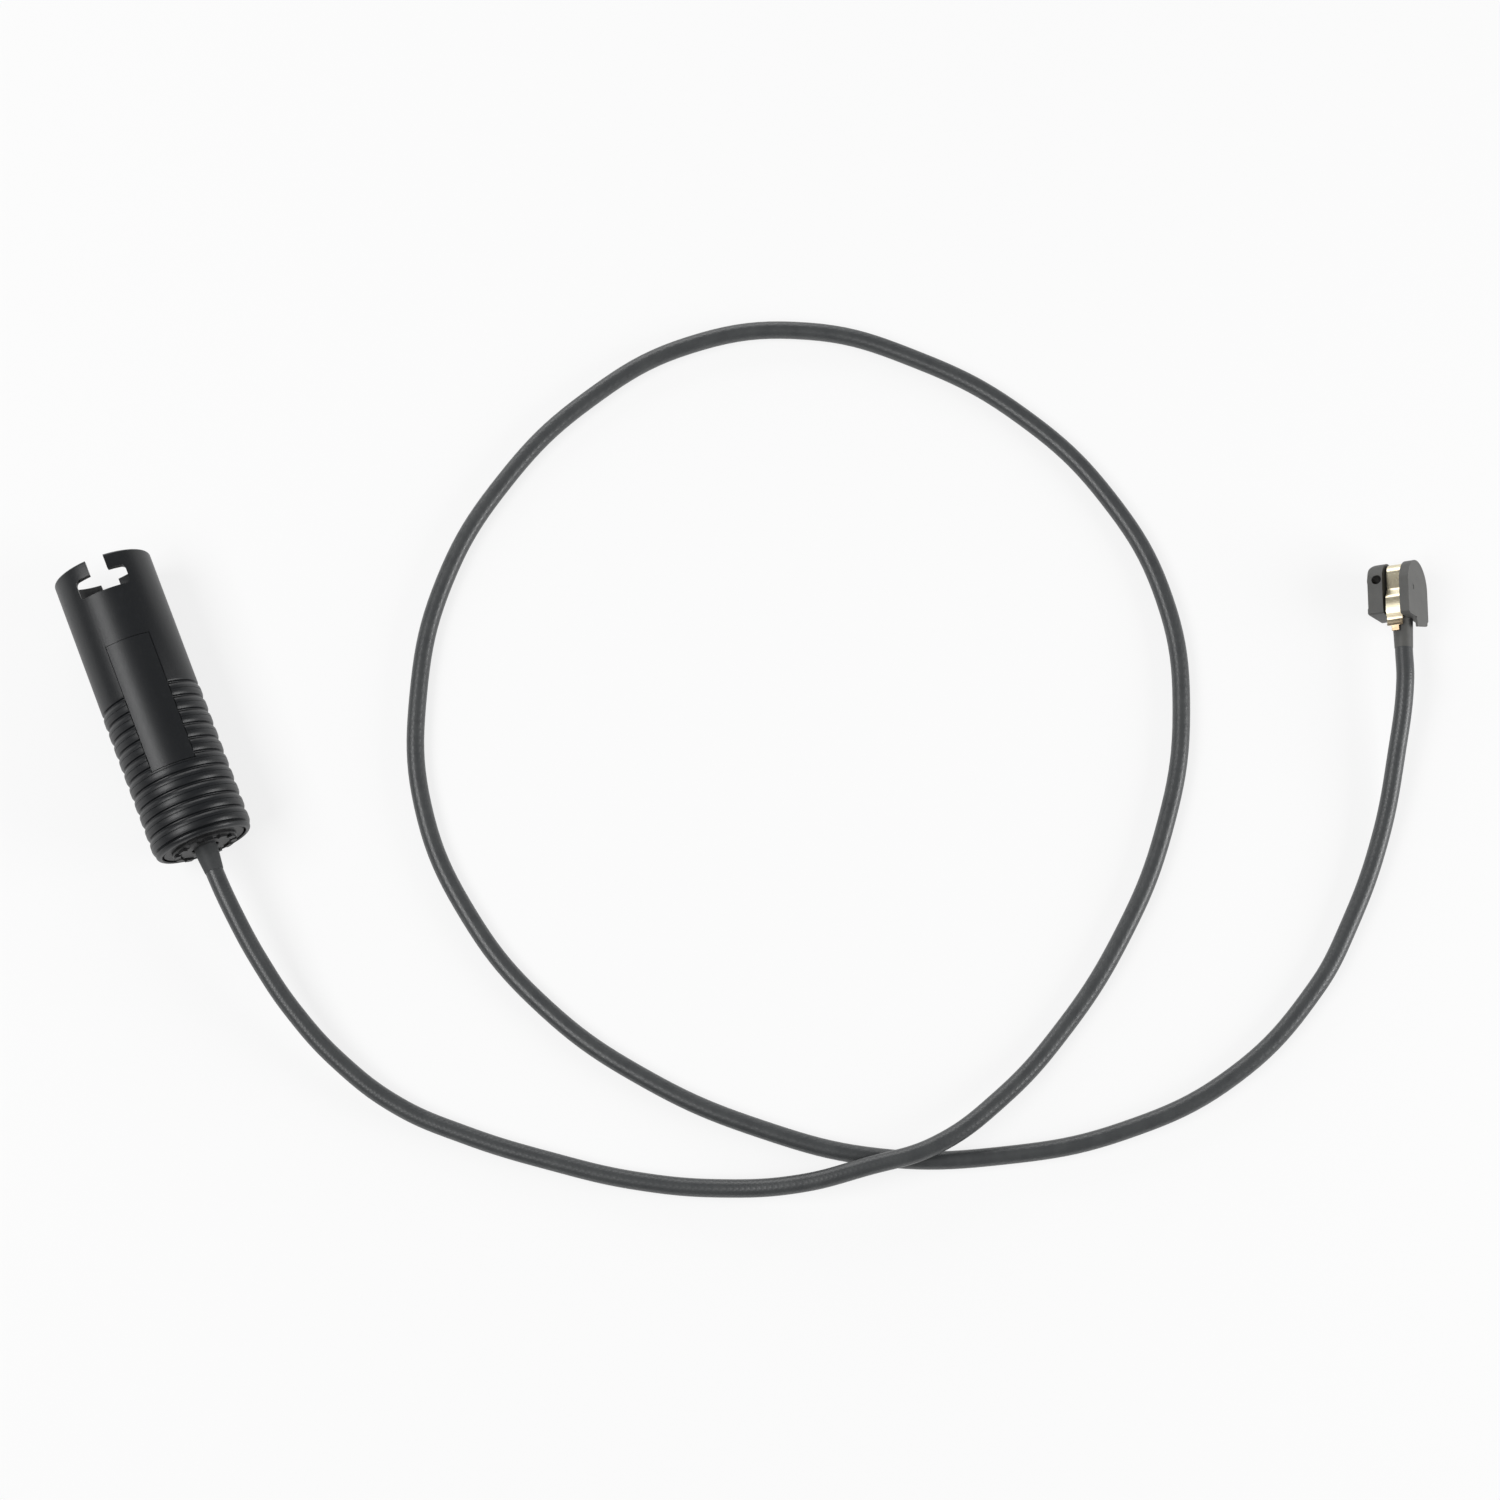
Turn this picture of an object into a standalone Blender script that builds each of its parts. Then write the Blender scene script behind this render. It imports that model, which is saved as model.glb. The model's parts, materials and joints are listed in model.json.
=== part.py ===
"""Brake pad wear sensor: a sensor head that clips into a brake pad, its cable and its round connector.

The sensor lies on a level surface (z = 0) as it comes to rest. The connector's axis runs along +Y,
out of its mouth. The head lies on the lower edge of its wear tip, with its flange leaning up.
Sizes are in millimetres and are turned into metres by MM where a mesh or a place is made.
"""

import math

import bmesh
import bpy
import numpy as np
from mathutils import Matrix, Vector

MM = 0.001
FIT = 0.3  # clearance between pieces that touch in the real product
FINE_FIT = 0.25  # clearance of the cable in the holes that it runs through

# Connector housing: s runs along its axis, from the rear end (0) to the mouth
HOUSING_LENGTH = 63.5
HOUSING_RADIUS = 10.25
MOUTH_BORE = 8.75
MOUTH_DEPTH = 13.5
REAR_EDGE = 0.9
MOUTH_EDGE = 0.45
SHOULDER_LENGTH = 1.8
SHOULDER_OVERLAP = 1.2
CARRIER_BORE = 8.5
RETAINER_BORE = 8.9
RETAINER_SEAT = 6.7

# Grip ribs round the rear half, and the smooth panel that interrupts them
RIB_COUNT = 10
RIB_PITCH = 3.18
RIB_START = 1.35
RIB_GROOVE_DEPTH = 0.5
RIB_GROOVE_WIDTH = 0.4
RIB_FLANK = 0.35
RIB_CROWN = 0.12
PANEL_FROM_MOUTH = 18.6
PANEL_LENGTH = 27.9
PANEL_HALF_ANGLE = 26.5
PANEL_TURN = 3.5
PANEL_RISE = 0.15

# Locking T-slots, one above and one below
SLOT_STEM_WIDTH = 3.85
SLOT_STEM_DEPTH = 3.2
SLOT_BAR_WIDTH = 10.6
SLOT_BAR_DEPTH = 4.1
SLOT_CORNER = 0.8

# Pieces inside the connector
RETAINER_FACE = 0.3
RETAINER_HUB = 6.85
RETAINER_HUB_RISE = 0.9
RETAINER_CHAMFER = 0.3
TAB_COUNT = 12
TAB_WIDTH = 1.7
TAB_DEPTH = 1.2
TAB_RISE = 0.35
TAB_INSET = 0.25
SEAL_LENGTH = 6.0
SEAL_LIPS = 3
SEAL_LIP_HEIGHT = 0.7
COLLAR_LENGTH = 4.4
COLLAR_RADIUS = 2.5
COLLAR_END_RADIUS = 2.35
CARRIER_NOSE = 3.3
CARRIER_CHAMFER = 0.3
CARRIER_POCKET_RADIUS = 5.4
CARRIER_POCKET_DEPTH = 7.0
RING_SECTION = 1.0
RING_SIDES = 8
RING_FROM_SHOULDER = 17.0
CONTACT_SPACING = 7.0
CONTACT_BODY_RADIUS = 1.45
CONTACT_PIN_RADIUS = 1.15
CONTACT_PIN_RECESS = 8.0
CONTACT_BARREL_LENGTH = 5.2
CORE_DIAMETER = 1.2
CORE_SPACING = 1.5
CABLE_INSIDE = 12.0

# Cable: route points as seen from above, from the connector to the head, with the height of its middle
CABLE_DIAMETER = 3.7
CABLE_POINT_COUNT = 78
FLOOR_GAP = 0.1
LIE = CABLE_DIAMETER / 2 + FLOOR_GAP
OVER = LIE + CABLE_DIAMETER + FIT
CABLE_ROUTE = [
    (-121.3, -20.6, 9.7), (-119.9, -30.9, 8.2), (-117.2, -42.6, 6.3), (-112.3, -55.2, 4.3),
    (-104.7, -67.5, 2.8), (-94.4, -77.8, 2.1), (-80.0, -89.4, LIE), (-65.4, -99.5, LIE),
    (-49.6, -107.5, 2.5), (-35.2, -112.4, 4.4), (-21.9, -114.3, OVER), (-7.4, -115.5, OVER),
    (8.5, -111.5, 3.9), (24.9, -103.7, 2.2), (43.9, -90.5, LIE), (61.0, -73.2, LIE),
    (74.3, -51.7, LIE), (80.8, -27.9, LIE), (78.5, -3.3, LIE), (68.7, 20.1, LIE),
    (53.4, 39.4, LIE), (33.8, 54.4, LIE), (9.4, 60.8, LIE), (-15.1, 57.4, LIE),
    (-37.7, 47.3, LIE), (-57.0, 31.7, LIE), (-70.7, 11.0, LIE), (-78.2, -11.6, LIE),
    (-77.5, -36.6, LIE), (-69.8, -60.1, LIE), (-56.0, -81.3, LIE), (-38.4, -99.1, LIE),
    (-18.7, -113.1, LIE), (4.6, -122.1, LIE), (29.2, -126.6, LIE), (54.4, -124.6, LIE),
    (76.9, -114.5, LIE), (88.6, -105.0, 2.0), (101.6, -91.0, 2.7), (111.7, -76.0, 4.5),
]
CONNECTOR_X = -122.0
CONNECTOR_Y = 25.8

# Sensor head: a runs through its thickness from the wear face, v up its length, b across its width
TIP_WIDTH = 8.1
TIP_BOTTOM = 0.95
TIP_HEIGHT = 12.3
TIP_CORNER = 0.4
TIP_SHOULDER = 1.5
TIP_THICKNESS = 3.4
CHANNEL = 4.0
FLANGE_WIDTH = 11.1
FLANGE_HEIGHT = 12.25
FLANGE_THICKNESS = 2.0
FLANGE_CORNER = 0.7
SEAT_LAND_START = 3.6
HEAD_EDGE = 0.22
CORE_HALF_WIDTH = 1.6
CORE_TOP = 11.3
TUNNEL_FROM_FACE = 2.05
TUNNEL_UP = 8.25
TUNNEL_WIDTH = 2.1
TUNNEL_HEIGHT = 1.7
SWELL_HEIGHT = 2.6
SWELL_RISE = 0.25
SWELL_ROOT = 0.5
FOOT_HEIGHT = 1.3
FOOT_RISE = 0.12
FOOT_ROOT = 0.6
NECK_RADIUS = 2.1
NECK_END_RADIUS = 1.95
NECK_LENGTH = 6.0
NECK_INSET = 3.55
NECK_BOSS_HEIGHT = 4.0
LOOP_DIAMETER = 0.8
LOOP_LEG_SPACING = 1.7
HEAD_ROLL = math.radians(31)
HEAD_TURN = math.radians(21.9)
HEAD_EXIT_X = 123.75
HEAD_EXIT_Y = -51.24

# Spring clip: a strip folded over the core, seen along the thickness
STRIP_THICKNESS = 0.35
STRIP_BULGE = 3.2
STRIP_PINCH = 2.6
STRIP_TONGUE_WIDTH = 1.6
STRIP_TONGUE_SHIFT = 0.6
STRIP_BARB = 1.2
STRIP_BARB_AT = -2.3

HOUSING_SIDES = 40
INNER_SIDES = 32
SMALL_SIDES = 16
SIDE_THAT_FACES_UP = 270  # degrees round the connector's own axis


def make_material(name, colour, roughness, metallic=0.0):
    """A Principled material with one colour."""
    material = bpy.data.materials.new(name)
    material.use_nodes = True
    shader = material.node_tree.nodes["Principled BSDF"]
    shader.inputs["Base Color"].default_value = (*colour, 1.0)
    shader.inputs["Roughness"].default_value = roughness
    shader.inputs["Metallic"].default_value = metallic
    return material


def add_piece(name, mesh, material, parent):
    """A named piece under its empty, with smooth rounds and sharp edges."""
    piece = bpy.data.objects.new(name, mesh)
    bpy.context.collection.objects.link(piece)
    if material:
        mesh.materials.append(material)
    mesh.shade_smooth()
    mesh.set_sharp_from_angle(angle=math.radians(32))
    piece.parent = parent
    return piece


def mesh_from(name, form):
    """A mesh in metres from a form in millimetres, with its faces pointing out."""
    bmesh.ops.recalc_face_normals(form, faces=form.faces)
    bmesh.ops.scale(form, vec=(MM, MM, MM), verts=form.verts)
    mesh = bpy.data.meshes.new(name)
    form.to_mesh(mesh)
    form.free()
    return mesh


def turned(name, profile, sides):
    """A closed outline of (radius, height) points spun round Z."""
    form = bmesh.new()
    points = [form.verts.new((radius, 0, height)) for radius, height in profile]
    edges = [form.edges.new((points[i], points[(i + 1) % len(points)])) for i in range(len(points))]
    bmesh.ops.spin(
        form, geom=points + edges, cent=(0, 0, 0), axis=(0, 0, 1), angle=math.tau, steps=sides, use_merge=True
    )
    bmesh.ops.remove_doubles(form, verts=form.verts, dist=0.0001)
    return mesh_from(name, form)


def extruded(name, outline, start, end, axes):
    """A flat outline extruded from start to end; axes names the outline's two axes and the depth's."""
    order = ["xyz".index(axis) for axis in axes]
    form = bmesh.new()
    corners = []
    for first, second in outline:
        place = [0, 0, 0]
        place[order[0]], place[order[1]], place[order[2]] = first, second, start
        corners.append(form.verts.new(place))
    walls = bmesh.ops.extrude_face_region(form, geom=[form.faces.new(corners)])
    moved = [item for item in walls["geom"] if isinstance(item, bmesh.types.BMVert)]
    depth = [0, 0, 0]
    depth[order[2]] = end - start
    bmesh.ops.translate(form, verts=moved, vec=depth)
    return mesh_from(name, form)


def arc(middle, radius, start, end, steps):
    """Points along an arc, with angles in degrees."""
    angles = np.radians(np.linspace(start, end, steps + 1))
    return [(middle[0] + radius * math.cos(t), middle[1] + radius * math.sin(t)) for t in angles]


def swept(name, points, radius, sides):
    """A closed round bar along a list of points, as a mesh that can cut others."""
    form = bmesh.new()
    path = [Vector(point) for point in points]
    along = (path[1] - path[0]).normalized()
    across = along.orthogonal().normalized()
    rings = []
    for index, point in enumerate(path):
        heading = (path[min(index + 1, len(path) - 1)] - path[max(index - 1, 0)]).normalized()
        across.rotate(along.rotation_difference(heading))
        along = heading
        other = along.cross(across)
        angles = np.linspace(0, math.tau, sides, endpoint=False)
        spokes = [across * math.cos(t) + other * math.sin(t) for t in angles]
        rings.append([form.verts.new(point + radius * spoke) for spoke in spokes])
    for ring, following in zip(rings, rings[1:]):
        for index in range(sides):
            form.faces.new((ring[index - 1], ring[index], following[index], following[index - 1]))
    form.faces.new(rings[0])
    form.faces.new(rings[-1])
    return mesh_from(name, form)


def tube(name, points, radius, resolution, material, parent):
    """A round tube with closed ends along a list of points."""
    curve = bpy.data.curves.new(name, "CURVE")
    curve.dimensions = "3D"
    curve.bevel_depth = radius * MM
    curve.bevel_resolution = resolution
    curve.use_fill_caps = True
    spline = curve.splines.new("POLY")
    spline.points.add(len(points) - 1)
    for knot, point in zip(spline.points, points):
        knot.co = (point[0] * MM, point[1] * MM, point[2] * MM, 1)
    piece = bpy.data.objects.new(name, curve)
    bpy.context.collection.objects.link(piece)
    if material:
        curve.materials.append(material)
    piece.parent = parent
    return piece


def smooth_route(route, count):
    """Evenly spaced points on a smooth curve through the route's points."""
    knots = np.array(route, dtype=float)
    ends = [2 * knots[0] - knots[1], *knots, 2 * knots[-1] - knots[-2]]
    dense = []
    for before, start, end, after in zip(ends, ends[1:], ends[2:], ends[3:]):
        pairs = ((before, start), (start, end), (end, after))
        spans = [math.sqrt(np.linalg.norm(q - p)) for p, q in pairs]
        slope = (end - start) / spans[1]
        leave = (start - before) / spans[0] - (end - before) / (spans[0] + spans[1]) + slope
        arrive = slope - (after - start) / (spans[1] + spans[2]) + (after - end) / spans[2]
        for t in np.linspace(0, 1, 40, endpoint=False):
            dense.append(
                (2 * t**3 - 3 * t**2 + 1) * start + (t**3 - 2 * t**2 + t) * spans[1] * leave
                + (3 * t**2 - 2 * t**3) * end + (t**3 - t**2) * spans[1] * arrive
            )
    dense = np.array([*dense, knots[-1]])
    run = np.concatenate([[0], np.cumsum(np.linalg.norm(np.diff(dense, axis=0), axis=1))])
    stops = np.linspace(0, run[-1], count)
    return [tuple(np.interp(stop, run, dense[:, axis]) for axis in range(3)) for stop in stops]


def boolean(target, other, operation):
    """A live Boolean; the other shape stays hidden beside its target."""
    other.hide_render = True
    other.display_type = "WIRE"
    modifier = target.modifiers.new(other.name, "BOOLEAN")
    modifier.operation = operation
    modifier.solver = "EXACT"
    modifier.object = other


def cut(target, name, mesh):
    boolean(target, add_piece(name, mesh, None, target.parent), "DIFFERENCE")


def fuse(target, name, mesh):
    boolean(target, add_piece(name, mesh, None, target.parent), "UNION")


def rib_profile():
    """Outer line of the grip ribs, from the rear groove to the last one."""
    valley = HOUSING_RADIUS - RIB_GROOVE_DEPTH
    half = RIB_GROOVE_WIDTH / 2
    line = []
    for index in range(RIB_COUNT + 1):
        groove = RIB_START + index * RIB_PITCH
        line += [(HOUSING_RADIUS, groove - half - RIB_FLANK), (valley, groove - half)]
        line += [(valley, groove + half), (HOUSING_RADIUS, groove + half + RIB_FLANK)]
        if index < RIB_COUNT:
            line.append((HOUSING_RADIUS + RIB_CROWN, groove + RIB_PITCH / 2))
    return line


def housing_profile():
    """Outline of the sleeve: ribbed outside, stepped bore with a shoulder inside."""
    shoulder = HOUSING_LENGTH - MOUTH_DEPTH
    shoulder_bore = CARRIER_BORE - SHOULDER_OVERLAP
    rear = arc((HOUSING_RADIUS - REAR_EDGE, REAR_EDGE), REAR_EDGE, -90, -30, 3)
    mouth = arc((HOUSING_RADIUS - MOUTH_EDGE, HOUSING_LENGTH - MOUTH_EDGE), MOUTH_EDGE, 0, 90, 3)
    inside = [
        (MOUTH_BORE, HOUSING_LENGTH), (MOUTH_BORE, shoulder), (shoulder_bore, shoulder),
        (shoulder_bore, shoulder - SHOULDER_LENGTH), (CARRIER_BORE, shoulder - SHOULDER_LENGTH),
        (CARRIER_BORE, RETAINER_SEAT), (RETAINER_BORE, RETAINER_SEAT), (RETAINER_BORE, 0),
    ]
    return rear + rib_profile() + mouth + inside


def slot_outline():
    """One T: a stem from the mouth and a cross bar with rounded ends."""
    stem = SLOT_STEM_WIDTH / 2
    bar = SLOT_BAR_WIDTH / 2
    top = HOUSING_LENGTH - SLOT_STEM_DEPTH
    bottom = top - SLOT_BAR_DEPTH
    past_mouth = HOUSING_LENGTH + 1
    right = [(stem, past_mouth), (stem, top)]
    right += arc((bar - SLOT_CORNER, top - SLOT_CORNER), SLOT_CORNER, 90, 0, 4)
    right += arc((bar - SLOT_CORNER, bottom + SLOT_CORNER), SLOT_CORNER, 0, -90, 4)
    left = [(-across, along) for across, along in reversed(right)]
    return right + left


def panel_outline():
    """Cross-section of the smooth panel, sunk into the wall of the sleeve."""
    start = SIDE_THAT_FACES_UP + PANEL_TURN - PANEL_HALF_ANGLE
    end = SIDE_THAT_FACES_UP + PANEL_TURN + PANEL_HALF_ANGLE
    outer = arc((0, 0), HOUSING_RADIUS + PANEL_RISE, start, end, 10)
    inner = arc((0, 0), HOUSING_RADIUS - 2 * RIB_GROOVE_DEPTH, end, start, 10)
    return outer + inner


def build_housing(material, parent):
    """Sleeve with ribs, panel and T-slots."""
    sleeve = turned("connector_housing", housing_profile(), HOUSING_SIDES)
    housing = add_piece("connector_housing", sleeve, material, parent)
    panel_end = HOUSING_LENGTH - PANEL_FROM_MOUTH
    panel = extruded("panel_form", panel_outline(), panel_end - PANEL_LENGTH, panel_end, "xyz")
    fuse(housing, "panel_form", panel)
    through = HOUSING_RADIUS + 2
    cut(housing, "slot_form", extruded("slot_form", slot_outline(), -through, through, "xzy"))


def build_retainer(material, parent):
    """Rear retainer: a disc with a raised hub round the cable and a ring of low tabs at the hub's rim."""
    rim = RETAINER_BORE - FIT
    hole = COLLAR_RADIUS + FIT
    end = RETAINER_SEAT - FIT
    hub_face = RETAINER_FACE - RETAINER_HUB_RISE
    profile = [
        (hole, hub_face), (RETAINER_HUB - RETAINER_CHAMFER, hub_face),
        (RETAINER_HUB, hub_face + RETAINER_CHAMFER), (RETAINER_HUB, RETAINER_FACE), (rim, RETAINER_FACE),
        (rim, end), (hole, end),
    ]
    retainer = add_piece("rear_retainer", turned("rear_retainer", profile, INNER_SIDES), material, parent)
    outer = RETAINER_HUB - TAB_INSET
    half = TAB_WIDTH / 2
    outline = [(-half, outer - TAB_DEPTH), (half, outer - TAB_DEPTH), (half, outer), (-half, outer)]
    for index in range(TAB_COUNT):
        mesh = extruded(f"tab_form_{index + 1}", outline, hub_face - TAB_RISE, RETAINER_FACE, "xyz")
        mesh.transform(Matrix.Rotation((index + 0.5) * math.tau / TAB_COUNT, 4, "Z"))
        fuse(retainer, f"tab_form_{index + 1}", mesh)


def build_grommet(material, parent):
    """Cable seal: lips in the bore, and a collar that reaches out along the cable."""
    hole = CABLE_DIAMETER / 2 + FINE_FIT
    start = RETAINER_SEAT + FIT
    end = start + SEAL_LENGTH
    lip = CARRIER_BORE - FIT
    step = SEAL_LENGTH / (2 * SEAL_LIPS)
    profile = [
        (hole, -COLLAR_LENGTH), (COLLAR_END_RADIUS, -COLLAR_LENGTH), (COLLAR_RADIUS, -COLLAR_LENGTH / 3),
        (COLLAR_RADIUS, start),
    ]
    for index in range(SEAL_LIPS):
        low = start + 2 * index * step
        profile += [(lip - SEAL_LIP_HEIGHT, low), (lip, low + step)]
        profile.append((lip - SEAL_LIP_HEIGHT, low + 1.9 * step))
    profile += [(lip - SEAL_LIP_HEIGHT, end), (hole, end)]
    add_piece("cable_grommet", turned("cable_grommet", profile, INNER_SIDES), material, parent)


def carrier_start():
    return RETAINER_SEAT + FIT + SEAL_LENGTH + FIT


def build_carrier(material, seal_material, parent):
    """Contact carrier with its nose, a wire pocket, two contact bores and a seal ring in a groove."""
    start = carrier_start()
    shoulder = HOUSING_LENGTH - MOUTH_DEPTH
    stop = shoulder - SHOULDER_LENGTH - FIT
    body = CARRIER_BORE - FIT
    nose = CARRIER_BORE - SHOULDER_OVERLAP - FIT
    nose_end = stop + CARRIER_NOSE
    ring = shoulder - RING_FROM_SHOULDER
    groove = body - RING_SECTION - FIT
    half_groove = RING_SECTION / 2 + FIT
    pocket_end = start + CARRIER_POCKET_DEPTH
    profile = [
        (CARRIER_POCKET_RADIUS, start), (body, start), (body, ring - half_groove),
        (groove, ring - half_groove), (groove, ring + half_groove), (body, ring + half_groove), (body, stop),
        (nose, stop), (nose, nose_end - CARRIER_CHAMFER), (nose - CARRIER_CHAMFER, nose_end), (0, nose_end),
        (0, pocket_end), (CARRIER_POCKET_RADIUS, pocket_end),
    ]
    carrier = add_piece("contact_carrier", turned("contact_carrier", profile, INNER_SIDES), material, parent)
    bore = CONTACT_BODY_RADIUS + FIT
    neck = CONTACT_PIN_RADIUS + FIT
    past_nose = nose_end + 1
    profile = [
        (0, pocket_end - 1), (bore, pocket_end - 1), (bore, stop), (neck, stop), (neck, past_nose),
        (0, past_nose),
    ]
    for side, label in ((-1, "a"), (1, "b")):
        mesh = turned(f"bore_form_{label}", profile, SMALL_SIDES)
        mesh.transform(Matrix.Translation((side * CONTACT_SPACING / 2 * MM, 0, 0)))
        cut(carrier, f"bore_form_{label}", mesh)
    last_angle = 360 - 360 / RING_SIDES
    section = arc((body - RING_SECTION / 2, ring), RING_SECTION / 2, 0, last_angle, RING_SIDES - 1)
    add_piece("carrier_seal", turned("carrier_seal", section, INNER_SIDES), seal_material, parent)


def build_contacts(material, core_material, parent):
    """Two turned pins with crimp barrels, and the wire cores that run from the cable into them."""
    start = carrier_start()
    pocket_end = start + CARRIER_POCKET_DEPTH
    seat = HOUSING_LENGTH - MOUTH_DEPTH - SHOULDER_LENGTH - FIT - FIT
    tip = HOUSING_LENGTH - CONTACT_PIN_RECESS
    core = CORE_DIAMETER / 2
    barrel_floor = pocket_end + CONTACT_BARREL_LENGTH
    pin = CONTACT_PIN_RADIUS
    profile = [
        (core + FIT, pocket_end), (CONTACT_BODY_RADIUS, pocket_end), (CONTACT_BODY_RADIUS, seat),
        (pin, seat), (pin, tip - pin), *arc((0, tip - pin), pin, 25, 65, 2), (0, tip),
        (0, barrel_floor), (core + FIT, barrel_floor),
    ]
    mesh = turned("contact", profile, SMALL_SIDES)
    half = CONTACT_SPACING / 2
    for side, label in ((-1, "a"), (1, "b")):
        contact = add_piece(f"contact_{label}", mesh, material if label == "a" else None, parent)
        contact.location.x = side * half * MM
        near = CORE_SPACING / 2
        spread = half - near
        jacket_end = CABLE_INSIDE + FIT
        path = [
            (near, jacket_end), (near, start + 0.2), (near + 0.15 * spread, start + 1.2),
            (near + 0.85 * spread, pocket_end - 1.8), (half, pocket_end - 0.6), (half, barrel_floor - FIT),
        ]
        tube(f"core_wire_{label}", [(side * x, 0, s) for x, s in path], core, 1, core_material, parent)


def build_cable(material):
    """The whole cable, from inside the connector to the neck of the head."""
    rear = CONNECTOR_Y - HOUSING_LENGTH / 2
    height = HOUSING_RADIUS + RIB_CROWN
    straight = [(CONNECTOR_X, y, height) for y in (rear + CABLE_INSIDE, rear, rear - COLLAR_LENGTH - 1)]
    neck_end = head_matrix() @ Vector((neck_middle(), -NECK_LENGTH - FIT, 0))
    beyond = head_matrix() @ Vector((neck_middle(), -NECK_LENGTH - 7, 0))
    route = straight + CABLE_ROUTE + [tuple(beyond), tuple(neck_end)]
    return tube("cable", smooth_route(route, CABLE_POINT_COUNT), CABLE_DIAMETER / 2, 2, material, None)


def neck_middle():
    """Where the cable leaves the head, measured from the wear face."""
    return TIP_THICKNESS + CHANNEL + FLANGE_THICKNESS - NECK_INSET


def head_height():
    """Height of the head's own origin, with the lower edge of the tip's foot on the floor."""
    return TIP_WIDTH / 2 * math.cos(HEAD_ROLL) + FOOT_RISE * math.sin(HEAD_ROLL)


def head_matrix():
    """Place of the head in millimetres: rolled on its edge and turned, with its neck over the exit point."""
    turn = Matrix.Rotation(-HEAD_TURN, 4, "Z") @ Matrix.Rotation(-HEAD_ROLL, 4, "Y")
    exit_point = turn @ Vector((neck_middle(), 0, 0))
    place = (HEAD_EXIT_X - exit_point.x, HEAD_EXIT_Y - exit_point.y, head_height())
    return Matrix.Translation(place) @ turn


def round_top(half, bottom, height, corner, steps):
    """Outline of a plate with a half-round top and rounded bottom corners, as (v, b) points."""
    top = arc((height - half, 0), half, -90, 90, steps)
    if not corner:
        return [(bottom, -half), *top, (bottom, half)]
    low = arc((bottom + corner, corner - half), corner, 180, 270, 3)
    return low + top + arc((bottom + corner, half - corner), corner, 90, 180, 3)


def divide_lands(mesh):
    """Divides the flange beside the clip, where its lands meet the backing plate, into larger faces."""
    form = bmesh.new()
    form.from_mesh(mesh)
    for side in (-SEAT_LAND_START, SEAT_LAND_START):
        whole = [*form.verts, *form.edges, *form.faces]
        bmesh.ops.bisect_plane(form, geom=whole, plane_co=(0, 0, side * MM), plane_no=(0, 0, 1))
    form.to_mesh(mesh)
    form.free()


def build_head(material, parent):
    """Overmoulded head: wear tip, flange, core and cable neck in one moulding."""
    half = TIP_WIDTH / 2
    flange_face = TIP_THICKNESS + CHANNEL
    flange = round_top(FLANGE_WIDTH / 2, 0, FLANGE_HEIGHT, FLANGE_CORNER, 18)
    plate = extruded("head_moulding", flange, flange_face, flange_face + FLANGE_THICKNESS, "yzx")
    divide_lands(plate)
    head = add_piece("head_moulding", plate, material, parent)
    soften(head)
    tip_outline = round_top(half, TIP_BOTTOM, TIP_HEIGHT, TIP_CORNER, 18)
    soften(fused(head, "tip_form", extruded("tip_form", tip_outline, 0, TIP_THICKNESS, "yzx")))
    core = round_top(CORE_HALF_WIDTH, TIP_BOTTOM, CORE_TOP, 0, 10)
    into = FLANGE_THICKNESS / 4
    fuse(head, "core_form", extruded("core_form", core, TIP_THICKNESS - into, flange_face + into, "yzx"))
    a = TUNNEL_FROM_FACE
    v = TUNNEL_UP
    reach = SWELL_HEIGHT / 2
    swell_radius = (reach**2 + SWELL_RISE**2) / (2 * SWELL_RISE)
    spread = math.degrees(math.asin(reach / swell_radius))
    swell = [(SWELL_ROOT, v - reach), (SWELL_ROOT, v + reach)]
    swell += arc((swell_radius - SWELL_RISE, v), swell_radius, 180 - spread, 180 + spread, 6)
    side = half - SWELL_ROOT
    fuse(head, "swell_form", extruded("swell_form", swell, -side, side, "xyz"))
    low = TIP_BOTTOM + HEAD_EDGE
    high = TIP_BOTTOM + FOOT_HEIGHT
    foot = [(FOOT_ROOT, low), (FOOT_ROOT, high), (-FOOT_RISE, high), (-FOOT_RISE, low)]
    fuse(head, "foot_form", extruded("foot_form", foot, -half, half, "xyz"))
    neck = [
        (0, -NECK_BOSS_HEIGHT), (NECK_RADIUS, -NECK_BOSS_HEIGHT), (NECK_RADIUS, 0),
        (NECK_END_RADIUS, NECK_LENGTH), (0, NECK_LENGTH),
    ]
    boss = turned("boss_form", neck, 2 * SMALL_SIDES)
    boss.transform(Matrix.Translation((neck_middle() * MM, 0, 0)) @ Matrix.Rotation(math.radians(90), 4, "X"))
    fuse(head, "boss_form", boss)
    round_middle = TIP_HEIGHT - TIP_SHOULDER
    shoulder = arc((TIP_SHOULDER, round_middle), TIP_SHOULDER, 180, 90, 5)
    shoulder += [(TIP_SHOULDER, TIP_HEIGHT + 1), (-1, TIP_HEIGHT + 1), (-1, round_middle)]
    cut(head, "shoulder_form", extruded("shoulder_form", shoulder, -half - 1, half + 1, "xyz"))
    shift = (TUNNEL_WIDTH - TUNNEL_HEIGHT) / 2
    tunnel = arc((a + shift, v), TUNNEL_HEIGHT / 2, -90, 90, 6)
    tunnel += arc((a - shift, v), TUNNEL_HEIGHT / 2, 90, 270, 6)
    cut(head, "tunnel_form", extruded("tunnel_form", tunnel, -half - 1, half + 1, "xyz"))
    cut(head, "channel_form", swept("channel_form", loop_path(NECK_LENGTH + 1), LOOP_DIAMETER / 2 + FIT, 10))


def fused(target, name, mesh):
    """Fuses a form and returns it, for modifiers of its own."""
    form = add_piece(name, mesh, None, target.parent)
    boolean(target, form, "UNION")
    return form


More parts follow.
